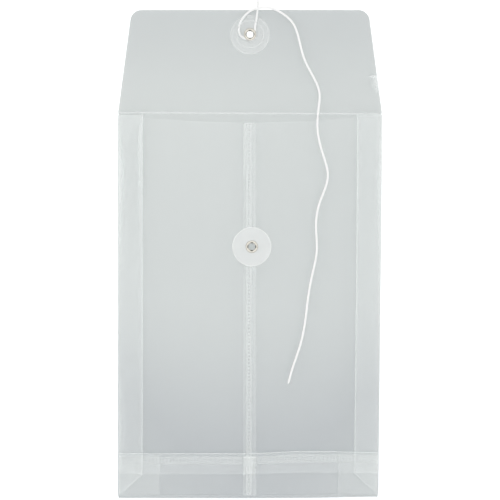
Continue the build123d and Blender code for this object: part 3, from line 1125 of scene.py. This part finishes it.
@dataclass
class BlockBottom:
    """The bottom, folded flat: the front's fold and tab, the back's fold-back and tab, side tabs, corners.

    The whitening of a ply is a pair: along its crease or edge, and all over.
    """

    film: Film
    reach: float = 0.4 * MM
    tab_cut: float = 0.4 * MM
    rear_fold_white: tuple = (0.05, 0)
    rear_tab_white: tuple = (1.4, 0.11)
    front_tab_white: tuple = (0.15, 0.03)
    side_tab_white: tuple = (0.4, 0.25)
    corner_white: tuple = (0.2, 0.17)
    corner_reach: float = 0.12
    corner_shape: tuple = (12, 9)
    corner_end_share: float = 0.99
    fold_white: float = 0.2
    lap_gap: float = 0.01 * MM
    lap_white: float = 0.22
    lap_edge_white: float = 0.08
    lap_end_white: float = 0.7

    def ply(self, name: str, grid: np.ndarray, on_line: np.ndarray, white: tuple, turned: tuple) -> None:
        """Makes the ply that stands for a packed one, riding on the back.

        Args:
            name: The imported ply's name.
            grid: Its middle surface.
            on_line: How near its crease or edge each point is.
            white: How white it is there and all over.
            turned: The steps, 1 or -1, along rows and columns that make its faces face outwards.
        """
        whitened = np.maximum(white[1], white[0] * on_line)
        rows, columns = turned
        grid, whitened = grid[::rows, ::columns], whitened[::rows, ::columns]
        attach(self.film.piece(f"{name}_ply", grid, [name], whitened), Body.BACK.value)

    def build(self) -> None:
        """Makes all plies, riding on the back but for the bottom fold, which rides on no body."""
        places, step = self.film.places, self.film.step
        columns = stations(-places.fold_x, places.fold_x, step)
        low_y, rear_y, base_y = places.bottom_fold_y, places.rear_fold_y, places.base_fold_y
        tab_y = places.front_tab_end_y
        back_ring = (places.back_z - places.rear_fold_z) / 2
        base_ring = (places.rear_fold_z - places.rear_tab_z) / 2
        bottom_ring = (places.front_z - places.front_tab_z) / 2
        fold_back = [
            half_ring(rear_y, places.back_z - back_ring, back_ring, 90, 180),
            flat_run(stations(rear_y, base_y, step, base_y)[1:], places.rear_fold_z),
        ]
        tab_run = stations(places.rear_tab_end_y + self.tab_cut, base_y, step, base_y)
        rear_tab = [
            half_ring(base_y, places.rear_fold_z - base_ring, base_ring, 90, -180),
            flat_run(tab_run[::-1][1:], places.rear_tab_z),
        ]
        front_tab = [flat_run(stations(low_y, tab_y, step, tab_y), places.front_tab_z)]
        for name, profile, crease_y, white, turned in (
            ("rear_fold", fold_back, rear_y, self.rear_fold_white, (1, 1)),
            ("base_rear_tab", rear_tab, base_y + base_ring, self.rear_tab_white, (-1, 1)),
            ("base_front_tab", front_tab, tab_y, self.front_tab_white, (1, 1)),
        ):
            grid = carried(np.concatenate(profile), columns, 0)
            self.ply(name, grid, near(grid[..., 1], crease_y, self.reach), white, turned)
        grid = carried(half_ring(low_y, places.front_z - bottom_ring, bottom_ring, 90, 180), columns, 0)
        fold = self.film.piece("bottom_fold_ply", grid, ["bottom_fold"], self.fold_white)
        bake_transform(fold)
        self.tab_lap()
        for side in Side:
            self.side_tab(side)
            self.corner(side)

    def tab_lap(self) -> None:
        """Makes the seam's second ply on the tucked-in tab, where the front's lap runs on."""
        places, end_y = self.film.places, self.film.places.front_tab_end_y
        columns = stations(places.seam_left_x, places.seam_right_x, self.film.step / 4)
        x, y = np.meshgrid(columns, stations(places.bottom_fold_y, end_y, self.film.step))
        edges = most(*(near(x, edge, self.reach) for edge in (places.seam_left_x, places.seam_right_x)))
        pressed = self.lap_white * (y > places.rear_fold_y)
        pressed += self.lap_end_white * near(y, end_y, self.reach)
        whitened = most(self.lap_edge_white * edges, pressed)
        grid = flat_grid(x, y, places.front_tab_z + places.film + self.lap_gap)
        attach(self.film.piece("tab_seam_lap", grid, [], whitened), Body.BACK.value)

    def side_tab(self, side: Side) -> None:
        """Makes a gusset's end, folded in across the bottom.

        Args:
            side: Which gusset's.
        """
        places = self.film.places
        end_x, fold_x = side.value * places.side_tab_x, side.value * places.fold_x
        columns = stations(*sorted((end_x, fold_x)), self.film.step, end_x)
        x, y = np.meshgrid(columns, stations(places.bottom_fold_y, places.base_fold_y, self.film.step))
        grid, on_edge = flat_grid(x, y, places.side_tab_z), near(x, end_x, self.reach)
        self.ply(f"base_side_tab_{side.word}", grid, on_edge, self.side_tab_white, (1, 1))

    def corner(self, side: Side) -> None:
        """Makes a gusset's triangle in a corner: rows narrow towards its point at the gusset's crease.

        Args:
            side: Which gusset's.
        """
        places = self.film.places
        middle = (places.bottom_fold_y + places.base_fold_y) / 2
        columns, rows = self.corner_shape
        share, row = np.meshgrid(np.linspace(0, self.corner_end_share, columns), np.linspace(-1, 1, rows))
        x = side.value * (places.fold_x - share * (places.fold_x - places.gusset_x))
        y = middle + row * (1 - share) * (places.base_fold_y - middle)
        grid, on_edge = flat_grid(x, y, places.corner_z), near(np.abs(row), 1, self.corner_reach)
        self.ply(f"base_corner_{side.word}", grid, on_edge, self.corner_white, (1, -side.value))


@dataclass
class Weld:
    """Embossed welds: rows of oval cells that the welding bar presses into the film."""

    film: Film
    finish: bpy.types.Material
    relief: float = 0.11 * MM
    steps_per_cell: int = 10
    steps_across: int = 21
    fade_from_share: float = 0.97
    gap: float = 0.01 * MM
    tab_gap: float = 0.03 * MM
    base_drop: float = 0.05 * MM
    hole_gap: float = 3.4 * MM
    end_gap: float = 0.6 * MM
    high_white: float = 0.42
    low_white: float = 0.36
    tab_high_white: float = 0.3
    tab_low_white: float = 0.02
    base_white: float = 0.44

    def strip(self, name: str, ends: tuple, bar: WeldBar, level: float, white: float, body: Body) -> None:
        """Makes a straight weld that rides on a body.

        Args:
            name: The weld's name.
            ends: The middles of its two ends, in plan.
            bar: The bar that pressed it.
            level: The height of its underside.
            white: How white its ridges are.
            body: The body.
        """
        origin, line = np.array(ends[0]), np.array(ends[1]) - np.array(ends[0])
        length = np.linalg.norm(line)
        forward = line / length
        aside = np.array([forward[1], -forward[0]])
        along = np.linspace(0, length, int(length / bar.pitch * self.steps_per_cell))
        across, run = np.meshgrid(np.linspace(-1, 1, self.steps_across), along)
        plan = origin + run[..., None] * forward + across[..., None] * aside * bar.width / 2
        fade = smoothstep(1, self.fade_from_share, np.abs(across))
        pressed = bar.pressed(run, across) * fade
        whitened = white * (bar.hollow_white * fade + (1 - bar.hollow_white) * pressed).ravel()
        height = level + bar.depth + self.relief * pressed
        top, bottom = (
            self.film.lying(np.concatenate([plan, heights[..., None]], -1))
            for heights in (height, np.full_like(height, level))
        )
        points, faces = solid_between(top, bottom)
        weld = place_piece(name, points, faces, {"crease": np.concatenate([whitened, 0 * whitened])})
        weld.data.materials.append(self.finish)
        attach(weld, body.value)

    def build(self, mouth_y: float, hole_y: float) -> None:
        """Makes the front seam's weld, its end on the tucked-in tab, and the weld across the bottom.

        Args:
            mouth_y: The mouth's edge at the seam.
            hole_y: The middle of the button's hole, which parts the seam's weld.
        """
        places = self.film.places
        half_film = places.film / 2
        seam_top = places.front_z + places.film + half_film + self.gap
        tab_top = places.front_tab_z + places.film + half_film + self.tab_gap
        base_top = places.rear_tab_z + half_film + self.gap
        low_y, rear_y, end_y = places.bottom_fold_y, places.rear_fold_y, places.front_tab_end_y
        seam_low, seam_high = low_y + self.end_gap, mouth_y - self.end_gap
        for name, start, end, level, white, body in (
            ("seam_weld_low", seam_low, hole_y - self.hole_gap, seam_top, self.low_white, Body.FRONT),
            ("seam_weld_high", hole_y + self.hole_gap, seam_high, seam_top, self.high_white, Body.FRONT),
            ("tab_weld_low", low_y, rear_y, tab_top, self.tab_low_white, Body.BACK),
            ("tab_weld_high", rear_y, end_y - self.end_gap, tab_top, self.tab_high_white, Body.BACK),
        ):
            ends = ((places.weld_x, start), (places.weld_x, end))
            self.strip(name, ends, SEAM_BAR, level, white, body)
        base_y = end_y - self.base_drop - BASE_BAR.width / 2
        ends = ((-places.fold_x, base_y), (places.fold_x, base_y))
        self.strip("base_weld", ends, BASE_BAR, base_top, self.base_white, Body.BACK)


@dataclass
class TieButton:
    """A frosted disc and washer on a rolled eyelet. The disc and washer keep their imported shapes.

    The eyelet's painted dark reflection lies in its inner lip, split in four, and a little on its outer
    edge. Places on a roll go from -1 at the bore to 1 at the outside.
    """

    name: str
    body: Body
    nickel: bpy.types.Material
    disc_opacity: float
    washer_opacity: float = 0.05
    bore_radius: float = 2.1 * MM
    barrel_wall: float = 0.3 * MM
    flange: float = 0.3 * MM
    roll_points: int = 17
    segments: int = 72
    splits: int = 4
    split_edge: tuple = (-0.2, 0.8)
    lip_place: float = -0.75
    lip_reach: float = 0.5
    lip_least: float = 0.15
    outer_edge: tuple = (0.6, 1.0)
    outer_dark_reflection: float = 0.3

    def eyelet(self) -> None:
        """Makes the eyelet: a barrel with a half-round roll at each end, turned about its own middle."""
        low, high = (np.array(corner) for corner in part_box(f"{self.name}_eyelet"))
        middle, outer, bore = (low + high) / 2, (high[0] - low[0]) / 2, self.bore_radius
        roll_middle, roll_half = (outer + bore) / 2, (outer - bore) / 2
        angle = np.radians(np.linspace(180, 360, self.roll_points))
        roll = np.stack([roll_middle + roll_half * np.cos(angle), self.flange * np.sin(angle)], -1)
        barrel, under, over = bore + self.barrel_wall, low[2] + self.flange, high[2] - self.flange
        wall = [[barrel, under], [barrel, over]]
        profile = np.concatenate([roll + [0, under], wall, [0, over] + roll[::-1] * [1, -1]])
        turn = np.linspace(0, 2 * pi, self.segments, endpoint=False)
        radius, level = profile[:, :1], np.repeat(profile[:, 1:], self.segments, axis=1)
        points = np.stack([middle[0] + radius * np.cos(turn), middle[1] + radius * np.sin(turn), level], -1)
        index = np.arange(len(profile) * self.segments).reshape(len(profile), self.segments)
        ahead, aside = np.roll(index, -1, axis=0), np.roll(index, -1, axis=1)
        faces = np.stack([index, aside, np.roll(ahead, -1, axis=1), ahead], -1).reshape(-1, 4)
        place = (radius - roll_middle) / roll_half
        wave = smoothstep(*self.split_edge, np.cos(self.splits * turn))
        split = self.lip_least + (1 - self.lip_least) * wave
        # Painted dark reflection: in the inner lip, split in four, and a little on the outer edge.
        dark_reflection = near(place, self.lip_place, self.lip_reach) * split
        dark_reflection += self.outer_dark_reflection * smoothstep(*self.outer_edge, place)
        ring = place_piece(f"{self.name}_rivet", points.reshape(-1, 3), faces, {"dark_reflection": dark_reflection.ravel()})
        ring.data.materials.append(self.nickel)
        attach(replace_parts(ring, f"{self.name}_eyelet"), self.body.value)

    def build(self, nodes: dict[str, bpy.types.Object]) -> None:
        """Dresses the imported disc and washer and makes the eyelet.

        Args:
            nodes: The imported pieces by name.
        """
        for word, opacity in (("disc", self.disc_opacity), ("washer", self.washer_opacity)):
            name = f"{self.name}_{word}"
            low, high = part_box(name)
            middle = (low + high) / 2
            frost = FrostFinish(f"frosted_{name}", opacity, (middle.x, middle.y), (high.x - low.x) / 2)
            nodes[name].data.materials.clear()
            nodes[name].data.materials.append(frost.material())
            LOG.info("%s: packed shape kept", name)
        self.eyelet()


@dataclass
class TieString:
    """The string: a hitch round the flap's eyelet with its tail, and the lengths over the flap and front.

    The routes' control points are in millimetres.
    """

    finish: bpy.types.Material
    diameter: float = 1.4 * MM
    strands: int = 3
    twist: float = 3.4 * MM
    groove: float = 0.2
    around: int = 18
    end_share: float = 0.25
    spline_order: int = 3
    spline_steps: int = 10
    flap_bend: tuple = (5.5 * MM, 1.5 * MM)
    front_bend: float = 12 * MM
    upper_length: float = 113 * MM
    lower_length: float = 164.3 * MM
    tail_length: float = 39.4 * MM
    upper_route: tuple = (
        (-0.83, 129.16, 1.7), (-5.3, 130.35, 1.7), (-7.0, 134.6, 1.7), (-6.0, 139.8, 1.7),
        (-2.9, 144.1, 1.7), (0.4, 146.8, 1.7), (4.5, 148.2, 2.4), (9.0, 148.6, 3.0), (13.5, 147.9, 3.6),
        (18.1, 145.7, 3.5), (22.8, 142.5, 3.5), (26.1, 138.7, 3.5), (28.2, 134.2, 3.5), (29.9, 127.5, 3.5),
        (31.5, 120.4, 3.5), (34.2, 113.6, 3.5), (37.7, 107.4, 3.5), (40.6, 101.7, 3.5), (42.0, 96.8, 3.5),
        (41.8, 91.8, 3.5), (41.1, 87.0, 4.3), (40.7, 82.6, 4.8),
    )
    lower_route: tuple = (
        (40.7, 82.6, 4.8), (40.34, 78.64, 5.25), (40.7, 72.6, 5.0), (41.9, 66.6, 5.0), (43.7, 60.2, 5.0),
        (45.7, 54.2, 5.0), (46.9, 48.6, 5.0), (46.5, 43.4, 5.0), (44.4, 37.4, 5.0), (42.0, 31.6, 5.0),
        (40.2, 25.0, 5.0), (39.5, 17.6, 5.0), (40.0, 9.8, 5.0), (40.3, 2.8, 5.0), (39.3, -4.6, 5.0),
        (37.3, -12.6, 5.0), (35.7, -20.6, 5.0), (34.5, -28.8, 5.0), (33.6, -37.2, 5.0), (32.3, -46.2, 5.0),
        (30.1, -55.2, 5.0), (27.1, -63.8, 5.0), (24.6, -71.2, 5.0), (23.0, -77.8, 5.0),
    )
    tail_route: tuple = (
        (-0.83, 129.16, 1.7), (0.48, 128.83, 1.7), (2.12, 129.53, 1.7), (3.2, 130.96, 1.7),
        (3.19, 132.53, 1.7), (2.83, 136.6, 1.7), (3.7, 140.6, 1.7), (4.3, 144.9, 1.55), (4.65, 148.6, 0.85),
        (4.9, 152.6, 0.75), (5.3, 157.0, 0.75), (6.1, 161.4, 0.75), (7.3, 165.4, 0.75),
    )

    def line(self, route: tuple) -> np.ndarray:
        """The smooth line that a route's points control, as a NURBS spline gives it.

        Args:
            route: Control points, in millimetres.

        Returns:
            Points along the line, in metres.
        """
        curve = bpy.data.curves.new("string_line", "CURVE")
        curve.dimensions = "3D"
        curve.resolution_u = self.spline_steps
        spline = curve.splines.new("NURBS")
        spline.points.add(len(route) - 1)
        control = np.column_stack([np.array(route) * MM, np.ones(len(route))])
        spline.points.foreach_set("co", control.ravel())
        spline.order_u = self.spline_order
        spline.use_endpoint_u = True
        holder = bpy.data.objects.new("string_line", curve)
        mesh = bpy.data.meshes.new_from_object(holder)
        line = np.zeros(len(mesh.vertices) * 3)
        mesh.vertices.foreach_get("co", line)
        bpy.data.objects.remove(holder)
        bpy.data.curves.remove(curve)
        bpy.data.meshes.remove(mesh)
        return line.reshape(-1, 3)

    def stretch(self, name: str, line: np.ndarray, nodes: list[str]) -> bpy.types.Object:
        """Carries the twisted section along a line.

        The radius is |cos| of the strands' own angle, which turns once a twist, rounded off at both ends.

        Args:
            name: The stretch's name.
            line: Its middle line.
            nodes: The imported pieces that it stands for.

        Returns:
            The stretch, which rides on nothing yet.
        """
        radius = self.diameter / 2
        run = np.concatenate([[0], np.cumsum(np.linalg.norm(np.diff(line, axis=0), axis=1))])[:, None]
        tangent = np.gradient(line, axis=0)
        tangent /= np.linalg.norm(tangent, axis=1, keepdims=True)
        aside = np.cross(tangent, [0, 0, 1])
        aside /= np.linalg.norm(aside, axis=1, keepdims=True)
        upward = np.cross(aside, tangent)
        angle = np.linspace(0, 2 * pi, self.around, endpoint=False)[None]
        turn = angle - 2 * pi * run / self.twist
        lobe = np.abs(np.cos(self.strands * turn / 2))
        from_end = np.minimum(run, run[-1] - run)
        round_off = np.sqrt(1 - (1 - np.clip(self.end_share + from_end / radius, 0, 1)) ** 2)
        reach = radius * (1 - self.groove * (1 - lobe)) * round_off
        spoke = np.cos(angle)[..., None] * aside[:, None] + np.sin(angle)[..., None] * upward[:, None]
        points = line[:, None] + reach[..., None] * spoke
        index = np.arange(len(line) * self.around).reshape(len(line), self.around)
        beside = np.roll(index, -1, axis=1)
        wall = np.stack([index[:-1], index[1:], beside[1:], beside[:-1]], -1).reshape(-1, 4)
        twists = np.broadcast_to(run / self.twist, lobe.shape)
        marks = {"crown": lobe.ravel(), "run": twists.ravel(), "turn": turn.ravel()}
        cord = place_piece(name, points.reshape(-1, 3), [*wall, index[0], index[-1][::-1]], marks)
        cord.data.materials.append(self.finish)
        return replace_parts(cord, *nodes)

    def build(self, places: Places) -> None:
        """Args:
            places: Where the creases are. It is not used.
        """
        routes = (self.tail_route, self.upper_route, self.lower_route)
        tail_line, upper_line, lower_line = (self.line(route) for route in routes)
        tail = self.stretch("string_end", tail_line, ["string_tail", "string_knot"])
        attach(tail, Body.FLAP.value)
        upper = self.stretch("string_over_flap", upper_line, ["string_upper"])
        lower = self.stretch("string_on_front", lower_line, ["string_lower"])
        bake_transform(upper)
        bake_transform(lower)


@dataclass
class Studio:
    """A white table under a large soft lamp, and a camera straight above."""

    camera_height: float = 1.2
    view_width: float = 300.9 * MM
    view_middle: tuple = (0.0, 2.46 * MM)
    sensor: float = 36
    film_level: float = 3 * MM
    clear_bounces: int = 64
    table_drop: float = 0.1 * MM
    table_half: float = 3.0
    # The table's two tones of painted light and shade.
    table_lit: tuple = (0.636, 0.665, 0.658)
    table_shaded: tuple = (0.43, 0.456, 0.48)
    shade_y: tuple = (-150 * MM, -25 * MM)
    shade_bow: float = 2.5
    light_y: tuple = (-25 * MM, 80 * MM)
    light_rise: tuple = (0.883, 0.117)
    far_shade_y: tuple = (90 * MM, 150 * MM)
    far_shade: float = 0.27
    side_shade_x: tuple = (-40 * MM, 60 * MM)
    side_shade: float = 0.08
    side_reach: float = 65 * MM
    side_light: float = 0.3
    table_top_up: float = 0.7
    ambient: float = 0.94
    softbox_height: float = 2.0
    softbox_x: tuple = (-0.55, 0.55)
    softbox_y: tuple = (-0.8, 0.9)
    softbox_radiance: float = 0.75
    side_spot: tuple = (1.3, 0.35, 1.0)
    side_size: tuple = (0.7, 0.7)
    side_radiance: float = 2.0

    def camera(self) -> None:
        """Puts the camera straight above the photograph's middle."""
        lens = bpy.data.cameras.new("camera")
        lens.sensor_width = self.sensor
        lens.lens = self.sensor * (self.camera_height - self.film_level) / self.view_width
        holder = bpy.data.objects.new("camera", lens)
        holder.location = (*self.view_middle, self.camera_height)
        bpy.context.scene.collection.objects.link(holder)
        bpy.context.scene.camera = holder

    def seen(self, nodes: Nodes) -> Term:
        """1 for rays that see the background itself, straight from the camera or by way of metal and glass.

        Args:
            nodes: The background's nodes.

        Returns:
            The factor, 0 or 1.
        """
        path = nodes.node("ShaderNodeLightPath").outputs
        through_film = Term(nodes, path["Transparent Depth"]).capped(1.0)
        straight = Term(nodes, path["Is Camera Ray"]) * (1 - through_film)
        mirrored = Term(nodes, path["Is Glossy Ray"]).raised(Term(nodes, path["Is Transmission Ray"]))
        return straight.raised(mirrored)

    def table(self) -> None:
        """Makes the table, topped up to white where it is seen bare, with the object's shadow on it."""
        half = self.table_half
        corners = ((-half, -half), (half, -half), (half, half), (-half, half))
        points = np.array([(*corner, -self.table_drop) for corner in corners])
        top = place_piece("table", points, np.array([[0, 1, 2, 3]]), {})
        nodes = Nodes(bpy.data.materials.new("pale_table"))
        # The table's colour holds painted light and shade: darker towards the bottom and starting higher at
        # the sides, lighter towards the top, a little darker at the far top and on the right, and lighter
        # far out at both sides.
        x, y = nodes.axis("X"), nodes.axis("Y")
        even, rise = self.light_rise
        lit = (y - self.shade_bow * x * x).eased(*self.shade_y) * (even + rise * y.eased(*self.light_y))
        lit = lit * (1 - self.far_shade * y.eased(*self.far_shade_y))
        lit = lit * (1 - self.side_shade * x.eased(*self.side_shade_x))
        lit = lit.raised(self.side_light * (x * x / self.side_reach**2).capped(1.0))
        colour = nodes.tinted(lit, self.table_shaded, self.table_lit)
        plain = {"Base Color": colour, "Roughness": 1.0, "Specular IOR Level": 0.0}
        matte = nodes.node("ShaderNodeBsdfPrincipled", None, plain)
        glow = nodes.node("ShaderNodeEmission", None, {"Strength": self.table_top_up})
        both = nodes.node("ShaderNodeAddShader", None, {0: matte.outputs[0], 1: glow.outputs[0]})
        nodes.show(nodes.mixed(self.seen(nodes), matte, both))
        top.data.materials.append(nodes.owner)

    def lamp(self, name: str, spot: tuple, size: tuple, radiance: float, aim: tuple) -> None:
        """Hangs a flat soft lamp.

        Args:
            name: Its name.
            spot: Its middle.
            size: Its two sides.
            radiance: How bright its face is.
            aim: The point that it faces.
        """
        light = bpy.data.lights.new(name, "AREA")
        light.shape = "RECTANGLE"
        light.size, light.size_y = size
        light.energy = radiance * pi * size[0] * size[1]
        holder = bpy.data.objects.new(name, light)
        holder.location = spot
        x, y, z = np.array(aim) - np.array(spot)
        holder.rotation_euler = (np.arctan2(np.hypot(x, y), -z), 0, np.arctan2(x, -y))
        bpy.context.scene.collection.objects.link(holder)

    def light(self) -> None:
        """Lights the table: an even white room, the large lamp above and one at each side."""
        world = bpy.data.worlds.new("room")
        bpy.context.scene.world = world
        nodes = Nodes(world)
        dim, white = (
            nodes.node("ShaderNodeBackground", None, {"Color": (1, 1, 1, 1), "Strength": strength})
            for strength in (self.ambient, 1.0)
        )
        nodes.show(nodes.mixed(self.seen(nodes), dim, white), "ShaderNodeOutputWorld")
        (left, right), (near_end, far_end) = self.softbox_x, self.softbox_y
        middle = ((left + right) / 2, (near_end + far_end) / 2, self.softbox_height)
        size = (right - left, far_end - near_end)
        self.lamp("softbox", middle, size, self.softbox_radiance, (*middle[:2], 0))
        for sign in (-1, 1):
            spot = (sign * self.side_spot[0], *self.side_spot[1:])
            self.lamp(f"side_lamp_{sign}", spot, self.side_size, self.side_radiance, (0, 0, 0))

    def build(self) -> None:
        """Sets the view, the table and the lamps."""
        bpy.context.scene.view_settings.view_transform = "Standard"
        bpy.context.scene.cycles.transparent_max_bounces = self.clear_bounces
        self.camera()
        self.table()
        self.light()


def main() -> None:
    """Loads the frame, builds the studio, string, film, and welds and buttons."""
    logging.basicConfig(level=logging.INFO, format="%(message)s")
    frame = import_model()
    places = Places.read()
    Studio().build()
    TieString(StringFinish().material()).build(places)
    film = Film(places, FilmFinish().material())
    BackSheet(film, EyeletHole.about("flap_eyelet")).build()
    front = FrontPanel(film, EyeletHole.about("front_eyelet"))
    for side in Side:
        front.half(side)
        Gusset(film, side).build()
    BlockBottom(film).build()
    weld_finish = FilmFinish(
        name="welded_film",
        tint=(0.725, 0.755, 0.75),
        haze=0.02,
        whitening=1.0,
        gloss_roughness=0.22,
        shadow_share=0.25,
    )
    Weld(film, weld_finish.material()).build(float(front.mouth(np.array(0.0))), front.hole.y)
    nickel = NickelFinish().material()
    TieButton("flap", Body.FLAP, nickel, disc_opacity=0.22).build(frame["nodes"])
    TieButton("front", Body.FRONT, nickel, disc_opacity=0.46).build(frame["nodes"])


if __name__ == "__main__":
    main()
